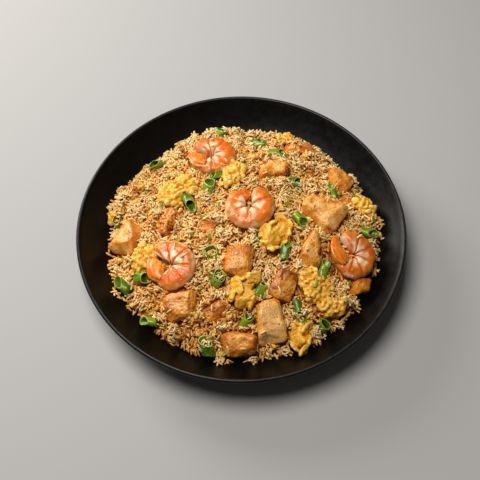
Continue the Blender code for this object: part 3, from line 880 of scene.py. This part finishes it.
def shrimp_body(seed, sweep, narrowing):
    """Points, faces and attributes of a peeled, curled body with its head end on +X."""
    share, around = np.meshgrid(np.linspace(0, 1, BODY_RINGS), 2 * pi * np.arange(BODY_SIDES) / BODY_SIDES, indexing="ij")
    across = np.sign(np.cos(around)) * np.abs(np.cos(around)) ** 0.85
    upright = np.sign(np.sin(around)) * np.abs(np.sin(around)) ** 0.9
    blunt = np.sqrt(np.clip(1 - (1 - smooth_step(share, -0.03, 0.075)) ** 2, 0, 1))
    tail_end = 1.0 - narrowing * smooth_step(share, 0.78, 1.0)
    tail_end *= np.sqrt(1.0 - 0.98 * smooth_step(share, 0.92, 1.0) ** 2)
    depth = (SHRIMP_RADIUS - HOLE_RADIUS) * (1.0 - 0.16 * share**1.5) * blunt * tail_end
    thick = SHRIMP_THICKNESS * (1.0 - 0.30 * share) * (0.4 + 0.6 * blunt) * tail_end
    belly = smooth_step(-across, 0.15, 0.6)
    crease = bands(share, 0.016)
    swell = 1.0 - bands(share, 0.055)
    middle = SHRIMP_RADIUS - (SHRIMP_RADIUS - HOLE_RADIUS) * (1.0 - 0.16 * share**1.5) / 2
    radius = middle + across * depth / 2 - 1.1 * MM * belly * swell + 0.7 * MM * crease * belly
    radius -= 0.45 * MM * crease * (across > 0) * across
    height = upright * thick / 2
    groove = np.exp(-(((across + 0.18) / 0.10) ** 2))
    height *= 1.0 - 0.16 * groove * (0.4 + 0.6 * swell) - 0.15 * crease * (1 - 0.5 * np.abs(across)) + 0.14 * belly * swell
    angle = -np.radians(sweep) * share
    points = np.stack([radius * np.cos(angle), radius * np.sin(angle), height], -1)
    points += 0.55 * MM * np.stack([value_noise(points, 3.5 * MM, seed + k) for k in range(3)], -1)
    points = points.reshape(-1, 3)
    wander = share + 0.030 * value_noise(points, 5 * MM, seed + 5).reshape(share.shape)
    blotch = value_noise(points, 4 * MM, seed + 6).reshape(share.shape)
    strengths = np.random.default_rng(seed).uniform(0.6, 1.0, len(JOINTS))
    band = bands(wander, 0.024, strengths) * (0.35 + 0.65 * smooth_step(across, -0.85, -0.2))
    band *= (1 - smooth_step(across + 0.25 * blotch, 0.60, 1.0)) * smooth_step(blotch, -0.80, 0.0)
    band = np.maximum(band, 0.85 * smooth_step(value_noise(points, 6 * MM, seed + 7).reshape(share.shape), 0.35, 0.6))
    lobe = smooth_step(-across + 0.35 * blotch, -0.25, 0.30) * (1 - bands(wander, 0.035)) * (1 - 0.7 * band)
    lobe = np.maximum(lobe, 1 - smooth_step(share, 0.0, 0.03))
    lobe = np.maximum(lobe, 0.55 * smooth_step(across + 0.3 * blotch, 0.75, 1.0))
    lobe *= 1 - smooth_step(share, 0.84, 0.92)
    count = len(points)
    ends = (points[:BODY_SIDES].mean(0), points[-BODY_SIDES:].mean(0))
    points = np.vstack([points, ends])
    caps = np.vstack([fan_faces(count, 0, BODY_SIDES, False), fan_faces(count + 1, count - BODY_SIDES, BODY_SIDES)])
    faces = [ring_faces(BODY_RINGS, BODY_SIDES)[:, ::-1], caps]
    attributes = {
        "band": np.append(band.ravel(), [0.0, 1.0]),
        "lobe": np.append(lobe.ravel(), [1.0, 0.0]),
    }
    return points, faces, attributes


# Blades of the tail fans: shift outwards at the tip, height, width, length against the fan's sweep
BROAD_FAN = [
    (5.8 * MM, 2.2 * MM, 7.6 * MM, 1.06),
    (1.4 * MM, 3.4 * MM, 8.6 * MM, 1.16),
    (-3.6 * MM, 3.0 * MM, 8.0 * MM, 1.10),
    (-7.6 * MM, 1.8 * MM, 6.4 * MM, 0.98),
    (-0.6 * MM, 1.2 * MM, 15.0 * MM, 1.12),
]
CLOSED_FAN = [
    (7.6 * MM, 4.0 * MM, 13.0 * MM, 1.22),
    (-2.5 * MM, 2.4 * MM, 7.0 * MM, 0.80),
    (1.0 * MM, 1.4 * MM, 13.0 * MM, 0.90),
]
# For each shrimp, its blades and how late they taper. The second's tail end shows no fan
FANS = ((BROAD_FAN, 2.6), None, (BROAD_FAN, 2.6), (CLOSED_FAN, 1.7))
CLOSED_SWEEP = 352
BLADE_RINGS = 26
BLADE_SIDES = 16


def tail_fan(blades, sharpness):
    """Points, faces and rib attribute of the pointed blades that close the curl."""
    all_points = []
    all_faces = []
    all_ribs = []
    start = SHRIMP_RADIUS - 0.42 * (SHRIMP_RADIUS - HOLE_RADIUS)
    total = 0
    for shift, lift, width, reach in blades:
        share, around = np.meshgrid(
            np.linspace(0, 1, BLADE_RINGS), 2 * pi * np.arange(BLADE_SIDES) / BLADE_SIDES, indexing="ij"
        )
        taper = np.clip((share - 0.42) / 0.58, 0, 1)
        outline = (0.55 + 0.45 * smooth_step(share, 0.0, 0.40)) * (1.0 - taper**sharpness) ** 0.7 + 0.02
        across = np.cos(around) * outline * width / 2
        ridge = np.abs(np.sin(3 * np.cos(around) * pi / 2)) ** 2
        height = np.sin(around) * (0.8 * MM * (1.1 - share) + 0.10 * width * outline) * (0.75 + 0.3 * ridge)
        curve = lift * np.sin(pi * np.minimum(1.0, 0.30 + 0.70 * share)) + 0.8 * MM
        radius = start + shift * share**1.3 + across
        angle = -np.radians(SHRIMP_SWEEP - FAN_OVERLAP + FAN_SWEEP * reach * share)
        points = np.stack([radius * np.cos(angle), radius * np.sin(angle), height + curve], -1).reshape(-1, 3)
        count = len(points)
        points = np.vstack([points, points[:BLADE_SIDES].mean(0), points[-BLADE_SIDES:].mean(0)])
        caps = np.vstack([
            fan_faces(count, 0, BLADE_SIDES, False),
            fan_faces(count + 1, count - BLADE_SIDES, BLADE_SIDES),
        ])
        all_points.append(points)
        all_faces.append([ring_faces(BLADE_RINGS, BLADE_SIDES)[:, ::-1] + total, caps + total])
        all_ribs.append(np.append((1 - ridge).ravel(), [1.0, 1.0]))
        total += len(points)
    quads = np.concatenate([faces[0] for faces in all_faces])
    caps = np.concatenate([faces[1] for faces in all_faces])
    return np.vstack(all_points), [quads, caps], {"rib": np.concatenate(all_ribs)}


def build_shrimp():
    """Four curled shrimp: a body and, on three, a tail fan."""
    flesh = shrimp_material()
    shell = fan_material()
    made = []
    for i, (x, y, turn, size, lift) in enumerate(SHRIMP, 1):
        place = np.array(resting_place(x * MM, y * MM, turn, lift * MM))
        fan = FANS[i - 1]
        curl = (SHRIMP_SWEEP, 0.60) if fan else (CLOSED_SWEEP, 0.35)
        parts = {"body": (shrimp_body(10 * i, *curl), flesh)}
        if fan:
            parts["tail"] = (tail_fan(*fan), shell)
        for part, ((points, faces, attributes), material) in parts.items():
            points = size * points @ place[:3, :3].T + place[:3, 3]
            piece = new_object(f"shrimp_{i}_{part}", points, faces, material, attributes)
            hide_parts(f"shrimp_{i}")
            made.append(piece)
    return made


# Chicken and egg


def fine_copy(node, name, voxel, material):
    """A finely meshed, softened copy of a CAD node's solid, which it replaces."""
    shape = bmesh.new()
    shape.from_mesh(NODES[node].data)
    bmesh.ops.remove_doubles(shape, verts=shape.verts, dist=0.01 * MM)
    mesh = bpy.data.meshes.new(name)
    shape.to_mesh(mesh)
    shape.free()
    mesh.materials.clear()
    mesh.materials.append(material)
    obj = bpy.data.objects.new(name, mesh)
    bpy.context.scene.collection.objects.link(obj)
    remesh_object(obj, voxel, 5)
    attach(obj, "root")
    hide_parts(node)
    return obj


def soft_points(obj, rounds):
    """A mesh's points after each has moved to the mean of its neighbours, a number of times."""
    ends = np.empty(len(obj.data.edges) * 2, np.int32)
    obj.data.edges.foreach_get("vertices", ends)
    near, far = ends.reshape(-1, 2).T
    points = read_points(obj.data)
    count = np.bincount(ends, minlength=len(points))
    soft = points
    for _ in range(rounds):
        sums = [
            np.bincount(near, soft[far, axis], len(points)) + np.bincount(far, soft[near, axis], len(points))
            for axis in range(3)
        ]
        soft = np.stack(sums, -1) / count[:, None]
    return soft


def cavity(obj, rounds):
    """How far each point stands out of its softened surroundings, in millimetres. Folds are negative."""
    shift = read_points(obj.data) - soft_points(obj, rounds)
    return np.einsum("nk,nk->n", shift, read_points(obj.data, normals=True)) / MM


def spaced_picks(points, spacing, draw):
    """Indices of points in random order that keep a distance from each other."""
    free = np.ones(len(points), bool)
    picked = []
    for index in draw.permutation(len(points)):
        if free[index]:
            picked.append(index)
            free &= np.linalg.norm(points - points[index], axis=1) > spacing
    return np.array(picked)


def random_axes(count, draw):
    """Random right-angled axes."""
    first = draw.normal(size=(count, 3))
    first /= np.linalg.norm(first, axis=1)[:, None]
    second = np.cross(first, draw.normal(size=(count, 3)))
    second /= np.linalg.norm(second, axis=1)[:, None]
    return np.stack([first, second, np.cross(first, second)], 1)


def lying_axes(normals, axes, tumble):
    """Axes whose third stays near the normals and whose first is random."""
    third = normals + tumble * axes[:, 2]
    third /= np.linalg.norm(third, axis=1)[:, None]
    first = np.cross(axes[:, 0], third)
    first /= np.linalg.norm(first, axis=1)[:, None]
    return np.stack([first, np.cross(third, first), third], 1)


def crumble(obj, draw, spacing, sizes, voxel, stretch, boxy=0.7, tumble=None):
    """Turn a piece into a cluster of torn flakes over its own sunken body, under one skin.

    The flakes lie at random, or along the surface where tumble says how far they stray from it.
    """
    points = read_points(obj.data)
    normals = read_points(obj.data, normals=True)
    quads = np.empty(len(obj.data.loops), np.int32)
    obj.data.loops.foreach_get("vertex_index", quads)
    chosen = spaced_picks(points, spacing, draw)
    size = draw.uniform(*sizes, (len(chosen), 1, 1))
    flake, triangles = ball(2)
    flake = np.sign(flake) * np.abs(flake) ** boxy * stretch
    seeds = draw.uniform(-50, 50, (len(chosen), 1, 3))
    swell = 1.0 + 0.35 * value_noise(flake[None] * 1.4 + seeds, 1.0)
    shapes = flake[None] * swell[..., None] * size
    depth = 0.45 * size[:, 0] if tumble is None else 0.8 * MM
    places = points[chosen] - normals[chosen] * depth
    axes = random_axes(len(chosen), draw)
    if tumble is not None:
        axes = lying_axes(normals[chosen], axes, tumble)
    flakes, faces = copies(shapes, [triangles], places, axes)
    body = points - normals * min(sizes[1] * 0.75, 1.8 * MM)
    mesh = bpy.data.meshes.new(obj.name)
    all_faces = quads.reshape(-1, 4).tolist() + (faces[0] + len(body)).tolist()
    mesh.from_pydata(np.vstack([body, flakes]).tolist(), [], all_faces)
    mesh.materials.append(obj.data.materials[0])
    obj.data = mesh
    remesh_object(obj, voxel, 2)


def remesh_object(obj, voxel, softening):
    """Replace a mesh with one even skin round it."""
    remesh = obj.modifiers.new("remesh", "REMESH")
    remesh.mode = "VOXEL"
    remesh.voxel_size = voxel
    soften = obj.modifiers.new("soften", "SMOOTH")
    soften.factor = 0.5
    soften.iterations = softening
    material = obj.data.materials[0]
    old = obj.data
    fine = bpy.data.meshes.new_from_object(obj.evaluated_get(bpy.context.evaluated_depsgraph_get()))
    obj.modifiers.clear()
    obj.data = fine
    bpy.data.meshes.remove(old)
    fine.materials.clear()
    fine.materials.append(material)
    fine.shade_smooth()


def write_points(obj, points):
    """Move a mesh's points."""
    obj.data.vertices.foreach_set("co", np.asarray(points, np.float32).ravel())
    obj.data.update()


def trim_corners(points, draw, cuts, depth):
    """Shave flat facets off a piece's upper corners."""
    centre = points.mean(0)
    for _ in range(cuts):
        turn = draw.uniform(0, 2 * pi)
        rise = draw.uniform(0.35, 1.3)
        way = np.array([cos(turn), sin(turn), rise])
        way /= np.linalg.norm(way)
        height = (points - centre) @ way
        excess = np.maximum(0.0, height - (height.max() - draw.uniform(*depth)))
        points = points - 0.94 * excess[:, None] * way
    return points


# How browned each chunk is, from 0 for pale to 1, and how rough
CHUNKS = [
    (0.34, 0.6),
    (0.46, 1.7),
    (0.64, 1.2),
    (0.32, 0.6),
    (0.44, 0.9),
    (0.50, 1.5),
    (0.40, 0.9),
    (0.74, 1.6),
    (0.10, 0.5),
    (0.60, 1.1),
    (0.60, 1.2),
    (0.92, 1.4),
    (0.76, 1.4),
    (0.74, 1.4),
    (0.60, 1.4),
    (0.55, 1.0),
    (0.66, 1.2),
]
CRUMBLY = ("chicken_12", "chicken_15")


def build_chicken():
    """Chunks of chicken with flat cut faces and browned edges."""
    material = chicken_material()
    draw = np.random.default_rng(21)
    made = []
    chunks = sorted(name for name in NODES if name.startswith("chicken"))
    for seed, (node, (browning, roughness)) in enumerate(zip(chunks, CHUNKS)):
        piece = fine_copy(node, node + "_chunk", 0.68 * MM, material)
        points = trim_corners(read_points(piece.data), draw, 4, (1.5 * MM, 4.5 * MM))
        write_points(piece, points)
        edges = cavity(piece, 50)
        points = soft_points(piece, 3)
        write_points(piece, points)
        normals = read_points(piece.data, normals=True)
        coarse = value_noise(points, 6 * MM, seed)
        rough = value_noise(points, 2.0 * MM, seed + 1)
        fine = value_noise(points, 1.0 * MM, seed + 2)
        swell = 1.0 * coarse + roughness * (0.45 * (0.5 - np.abs(rough)) + 0.10 * fine) + 0.15
        write_points(piece, points + MM * (swell - 0.3)[:, None] * normals)
        if node in CRUMBLY:
            crumble(piece, draw, 2.3 * MM, (1.0 * MM, 1.9 * MM), 0.56 * MM, (1.45, 1.0, 0.6), 0.85)
            points = read_points(piece.data)
            normals = read_points(piece.data, normals=True)
            edges = 0.0
        patch = value_noise(points, 7 * MM, seed + 3)
        # Painted shade and light: folds and undersides get darker crust tones and upward faces lighter ones, besides
        # the real browning of edges and patches.
        browned = browning - 0.08 + 0.40 * patch + 0.42 * edges - 0.50 * cavity(piece, 8) - 0.12 * normals[:, 2]
        add_attribute(piece, "crust_and_shade", np.clip(browned, 0, 1))
        made.append(piece)
    return made


# Pieces of egg that are folded sheets rather than crumbly
EGG_SHEETS = ("egg_01", "egg_02", "egg_08")


def build_egg():
    """Scrambled egg: folded sheets with torn corners, and clusters of soft lumps."""
    material = egg_material()
    draw = np.random.default_rng(31)
    made = []
    for seed, node in enumerate(sorted(name for name in NODES if name.startswith("egg"))):
        piece = fine_copy(node, node + "_curd", 0.8 * MM, material)
        if node in EGG_SHEETS:
            crumble(piece, draw, 8.0 * MM, (3.6 * MM, 5.4 * MM), 0.60 * MM, (1.4, 1.1, 0.32), 0.75, 0.35)
        else:
            crumble(piece, draw, 3.4 * MM, (1.4 * MM, 2.9 * MM), 0.62 * MM, (1.4, 1.0, 0.7), 0.85)
        points = read_points(piece.data)
        normals = read_points(piece.data, normals=True)
        folds = 1.3 * np.abs(value_noise(points, 5 * MM, seed + 9)) + 0.6 * np.abs(value_noise(points, 2.4 * MM, seed + 4))
        rough = value_noise(points, 1.5 * MM, seed + 5)
        write_points(piece, points + (folds + 0.12 * rough - 0.3)[:, None] * MM * normals)
        # Painted shade and light: folds get darker tones, raised and upward-facing parts lighter ones.
        relief_shade = 0.46 + 0.44 * cavity(piece, 16) + 0.10 * rough + 0.14 * normals[:, 2]
        relief_shade += 0.18 * value_noise(points, 5 * MM, seed)
        add_attribute(piece, "relief_shade", np.clip(relief_shade, 0, 1))
        made.append(piece)
    return made


# Spring onion


def tube_frame(mesh):
    """The middle and axes of a slice: X along the tube, Y across its wide way, Z across its narrow way."""
    normals = np.array([face.normal[:] for face in mesh.polygons])
    areas = np.array([face.area for face in mesh.polygons])
    # Few faces look along the tube, and most look across its narrow way
    spread = np.linalg.eigh((normals * areas[:, None]).T @ normals)[1]
    axes = np.stack([spread[:, 0], spread[:, 1], spread[:, 2]])
    if np.linalg.det(axes) < 0:
        axes[0] = -axes[0]
    inside = read_points(mesh) @ axes.T
    middle = (inside.max(0) + inside.min(0)) / 2
    return middle, axes, inside - middle


def onion_slice(node, draw):
    """Points, faces and attributes of a slice of leaf: a smooth tube with slanted ends, and on some wide ones an inner
    layer.
    """
    middle, axes, inside = tube_frame(NODES[node].data)
    half_wide = np.abs(inside[:, 1]).max()
    half_high = np.abs(inside[:, 2]).max()
    ends = []
    for sign in (-1, 1):
        near = inside[inside[:, 0] * sign > 0]
        plane = np.column_stack([near[:, 1:], np.ones(len(near))])
        ends.append(np.linalg.lstsq(plane, near[:, 0], rcond=None)[0])
    sides = 36
    around = 2 * pi * np.arange(sides) / sides
    dent = 0.96 + 0.10 * np.sin(2 * around + draw.uniform(0, 6)) + 0.07 * np.sin(3 * around + draw.uniform(0, 6))
    wall = draw.uniform(0.6 * MM, 1.0 * MM)
    # Outer skin, then over the end and back along the inside
    steps = [(share, 0.0) for share in np.linspace(0, 1, 10)]
    steps += [(1.0, 0.5), (1.0, 1.0)]
    steps += [(share, 1.0) for share in np.linspace(0.92, 0.08, 6)]
    steps += [(0.0, 1.0), (0.0, 0.5)]
    layers = [(1.0, wall, 0.0)]
    if half_wide > 4.6 * MM and draw.uniform() < 0.35:
        layers.append((0.62, 0.6 * MM, 1.2 * MM))
    points = []
    faces = []
    marks = {"along": [], "around": [], "inside": [], "cut": [], "tint": []}
    tint = draw.uniform(-0.12, 0.16)
    for k, (share_of_width, thickness, recess) in enumerate(layers):
        base = sum(len(block) for block in points)
        for share, depth in steps:
            y = np.cos(around) * dent * (half_wide * share_of_width - thickness * depth)
            z = np.sin(around) * dent * (half_high * share_of_width - thickness * depth)
            low, high = (end[0] * y + end[1] * z + end[2] for end in ends)
            low = low + recess
            high = high - recess
            rounding = 0.25 * MM * (depth == 0.5)
            x = low + (high - low) * share + rounding * (1 if share == 1.0 else -1)
            points.append(np.stack([x, y, z], -1))
            marks["along"].append(x / (12 * MM))
            marks["around"].append(4 * np.cos(around) + 3 * np.sin(around) * np.sin(around) * 2)
            # The inside mark tells the material where to paint shade: inside the tube and on the inner layer.
            marks["inside"].append(np.full(sides, min(1.0, depth + 0.6 * k)))
            marks["cut"].append(np.full(sides, 1.0 if depth == 0.5 else 0.0))
            marks["tint"].append(np.full(sides, tint))
        quads = ring_faces(len(steps), sides)
        last = (len(steps) - 1) * sides
        here = np.arange(sides)
        there = (here + 1) % sides
        closing = np.stack([last + here, here, there, last + there], -1)
        faces.append(np.vstack([quads, closing]) + base)
    points = np.vstack(points)
    wave = [value_noise(points + middle, 4 * MM, 60 + k) + 2.2 * value_noise(points + middle, 9 * MM, 70 + k) for k in range(3)]
    points = points + 0.36 * MM * np.stack(wave, -1)
    points[:, 2] += 0.5 * MM * draw.uniform(-1, 1) * (1 - (points[:, 0] / np.abs(points[:, 0]).max()) ** 2)
    world = (points + middle) @ axes
    attributes = {key: np.concatenate(values) for key, values in marks.items()}
    return world, [np.vstack(faces)[:, ::-1]], attributes


def build_onion():
    """Slices of spring onion."""
    material = onion_material()
    draw = np.random.default_rng(41)
    made = []
    for node in sorted(name for name in NODES if name.startswith("onion")):
        points, faces, attributes = onion_slice(node, draw)
        piece = new_object(node + "_slice", points, faces, material, attributes)
        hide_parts(node)
        made.append(piece)
    return made


# Small bits on top

# Places of the larger scraps of leaf, in millimetres
SCRAPS = [(7, 58), (39, 13), (-83, 32), (-90, -33), (100, 30), (113, 8), (-19, 8), (-86, 40), (60, -60), (-52, -20)]


def surface_frames(x, y, ground, draw, tumble=0.35):
    """Places on the height map and axes that follow its slope, with a random turn."""
    reach = 2
    row = np.clip(cell_of(x), reach, len(ground) - 1 - reach)
    column = np.clip(cell_of(y), reach, len(ground) - 1 - reach)
    along_x = (ground[row + reach, column] - ground[row - reach, column]) / (2 * reach * CELL)
    along_y = (ground[row, column + reach] - ground[row, column - reach]) / (2 * reach * CELL)
    slopes = np.clip(np.stack([-along_x, -along_y], -1), -0.9, 0.9)
    normal = np.concatenate([slopes, np.ones((len(x), 1))], -1) + tumble * draw.normal(size=(len(x), 3))
    normal[:, 2] = np.abs(normal[:, 2])
    normal /= np.linalg.norm(normal, axis=1)[:, None]
    turn = draw.uniform(0, 2 * pi, len(x))
    side = np.stack([np.cos(turn), np.sin(turn), np.zeros(len(x))], -1)
    second = np.cross(normal, side)
    second /= np.linalg.norm(second, axis=1)[:, None]
    first = np.cross(second, normal)
    places = np.stack([x, y, ground[row, column]], -1)
    return places, np.stack([first, second, normal], 1)


def scattered_spots(count, draw, cover=None, edge=3 * MM):
    """Spots spread over the heap, clear of the toppings if their cover is given."""
    way = draw.uniform(0, 2 * pi, count)
    distance = (heap_outline(way) - edge) * draw.uniform(0, 1, count) ** 0.5
    return off_toppings(distance * np.cos(way), distance * np.sin(way), cover)


def off_toppings(x, y, cover):
    """Those spots that lie on no topping."""
    kept = np.full(len(x), True) if cover is None else cover[cell_of(x), cell_of(y)] < 0
    return x[kept], y[kept]


def lumps_mesh(x, y, sizes, stretch, sink, ground, draw, unevenness=0.35, boxy=1.0, detail=2):
    """Uneven lumps lying on the height map, square-edged where boxy is under 1."""
    points, faces = ball(detail)
    points = np.sign(points) * np.abs(points) ** boxy
    places, axes = surface_frames(x, y, ground, draw)
    seeds = draw.uniform(-50, 50, (len(x), 1, 3))
    swell = 1.0 + unevenness * value_noise(points[None] * 1.3 + seeds, 1.0) * 1.4
    shapes = points[None] * swell[..., None] * (sizes[:, None] * stretch)[:, None]
    places = places + axes[:, 2] * (sink * sizes)[:, None]
    made, face_sets = copies(shapes, [faces], places, axes)
    return made, face_sets, np.repeat(np.arange(len(x)), len(points)), swell.ravel()


def build_bits(ground, cover):
    """Egg crumbs, browned crumbs, herb shreds and pepper, strewn on the finished surface."""
    draw = np.random.default_rng(51)
    # Egg crumbs lie round the egg pieces
    x, y = [], []
    for node in sorted(name for name in NODES if name.startswith("egg")):
        low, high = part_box(node)
        middle = (low + high) / 2
        spread = 0.36 * max(high.x - low.x, high.y - low.y)
        count = int(10 + 900 * spread)
        x.append(draw.normal(middle.x, spread, count))
        y.append(draw.normal(middle.y, spread, count))
    strays = scattered_spots(36, draw)
    x, y = off_toppings(np.concatenate([*x, strays[0]]), np.concatenate([*y, strays[1]]), cover)
    kept = np.hypot(x, y) < heap_outline(np.arctan2(y, x)) - 4 * MM
    x, y = x[kept], y[kept]
    sizes = draw.uniform(0.8 * MM, 2.0 * MM, len(x))
    stretch = np.array([1.3, 1.0, 0.8])
    points, faces, _, swell = lumps_mesh(x, y, sizes, stretch, 0.1, ground, draw, 0.6, 0.85)
    # Painted shade and light: the crumbs are darker in their hollows and lighter on their bulges.
    relief_shade = np.clip(0.6 + 0.6 * (swell - 1), 0, 1)
    new_object("egg_crumbs", points, faces, egg_material(), {"relief_shade": relief_shade})
    # Browned crumbs lie in patches
    x, y = scattered_spots(2600, draw, cover)
    patchy = 0.5 * flat_noise(x, y, 15 * MM, 9) + 1.1 * dark_patch_weight(x, y) + 0.5 * draw.uniform(size=len(x)) > 0.75
    x, y = x[patchy], y[patchy]
    sizes = draw.uniform(0.5 * MM, 1.4 * MM, len(x))
    points, faces, owner, _ = lumps_mesh(x, y, sizes, np.array([1.4, 1.0, 0.6]), 0.0, ground, draw, 0.9, 0.6)
    tone = draw.uniform(0, 1, len(x))[owner]
    new_object("browned_crumbs", points, faces, crumb_material(), {"tone": tone})
    # Herb shreds, and a few scraps of leaf
    x, y = scattered_spots(330, draw, cover)
    sizes = draw.uniform(0.7 * MM, 1.8 * MM, len(x))
    x, y = (np.append(line, [spot[k] * MM for spot in SCRAPS]) for k, line in enumerate((x, y)))
    sizes = np.append(sizes, [2.4 * MM] * len(SCRAPS))
    stretch = np.array([1.4, 0.7, 0.25])
    points, faces, owner, _ = lumps_mesh(x, y, sizes, stretch, 0.1, ground, draw, 0.35, 0.5)
    tone = draw.uniform(0, 1, len(x))[owner]
    new_object("herb_shreds", points, faces, herb_material(), {"tone": tone})
    # Pepper
    x, y = scattered_spots(360, draw, cover)
    more_x, more_y = scattered_spots(130, draw)
    x, y = np.append(x, more_x), np.append(y, more_y)
    sizes = draw.uniform(0.20 * MM, 0.42 * MM, len(x))
    points, faces, owner, _ = lumps_mesh(x, y, sizes, np.ones(3), 0.35, ground, draw, 0.4, 0.7, 1)
    tone = draw.uniform(0, 1, len(x))[owner] ** 2
    new_object("pepper", points, faces, pepper_material(), {"tone": tone})


# Stage

LIGHT_DISTANCE = 1.1


def add_light(name, azimuth, elevation, size, power, colour):
    """A soft round light that faces the bowl. Azimuth 0 is on +X."""
    level = LIGHT_DISTANCE * cos(radians(elevation))
    place = (
        level * cos(radians(azimuth)),
        level * sin(radians(azimuth)),
        LIGHT_DISTANCE * sin(radians(elevation)),
    )
    light = bpy.data.lights.new(name, "AREA")
    light.shape = "DISK"
    light.size = size
    light.energy = power
    light.color = colour
    obj = bpy.data.objects.new(name, light)
    obj.location = place
    obj.rotation_euler = Vector(place).to_track_quat("Z", "Y").to_euler()
    bpy.context.scene.collection.objects.link(obj)


def build_stage():
    """A pale floor, soft light from the left and the back, and the camera."""
    scene = bpy.context.scene
    mesh = bpy.data.meshes.new("floor")
    shape = bmesh.new()
    bmesh.ops.create_grid(shape, x_segments=1, y_segments=1, size=3.0)
    shape.to_mesh(mesh)
    shape.free()
    floor = bpy.data.objects.new("floor", mesh)
    scene.collection.objects.link(floor)
    mesh.materials.append(Shader("floor_pale", 0.9).finish((0.44, 0.435, 0.43)))
    world = bpy.data.worlds.new("studio")
    world.use_nodes = True
    background = world.node_tree.nodes["Background"]
    background.inputs["Color"].default_value = (1.0, 0.98, 0.95, 1.0)
    background.inputs["Strength"].default_value = 0.06
    scene.world = world
    add_light("key", 135, 26, 0.5, 9.0, (1.0, 0.96, 0.90))
    add_light("top", 165, 76, 0.6, 10.5, (1.0, 0.97, 0.93))
    camera = bpy.data.cameras.new("camera")
    camera.lens = 62.42
    camera.sensor_width = 36.0
    view = bpy.data.objects.new("camera", camera)
    target = Vector((-1.2, -14.1, 36.0)) * MM
    elevation = radians(60.6)
    back = Vector((0.0, -cos(elevation), sin(elevation)))
    view.location = target + 0.7 * back
    view.rotation_euler = back.to_track_quat("Z", "Y").to_euler()
    scene.collection.objects.link(view)
    scene.camera = view
    scene.view_settings.view_transform = "Standard"


build_stage()
build_bowl()
clear_heights = cover_heights(build_shrimp() + build_chicken())
low_heights = cover_heights(build_egg() + build_onion())
build_bits(build_rice(clear_heights, low_heights), np.maximum(clear_heights, low_heights))
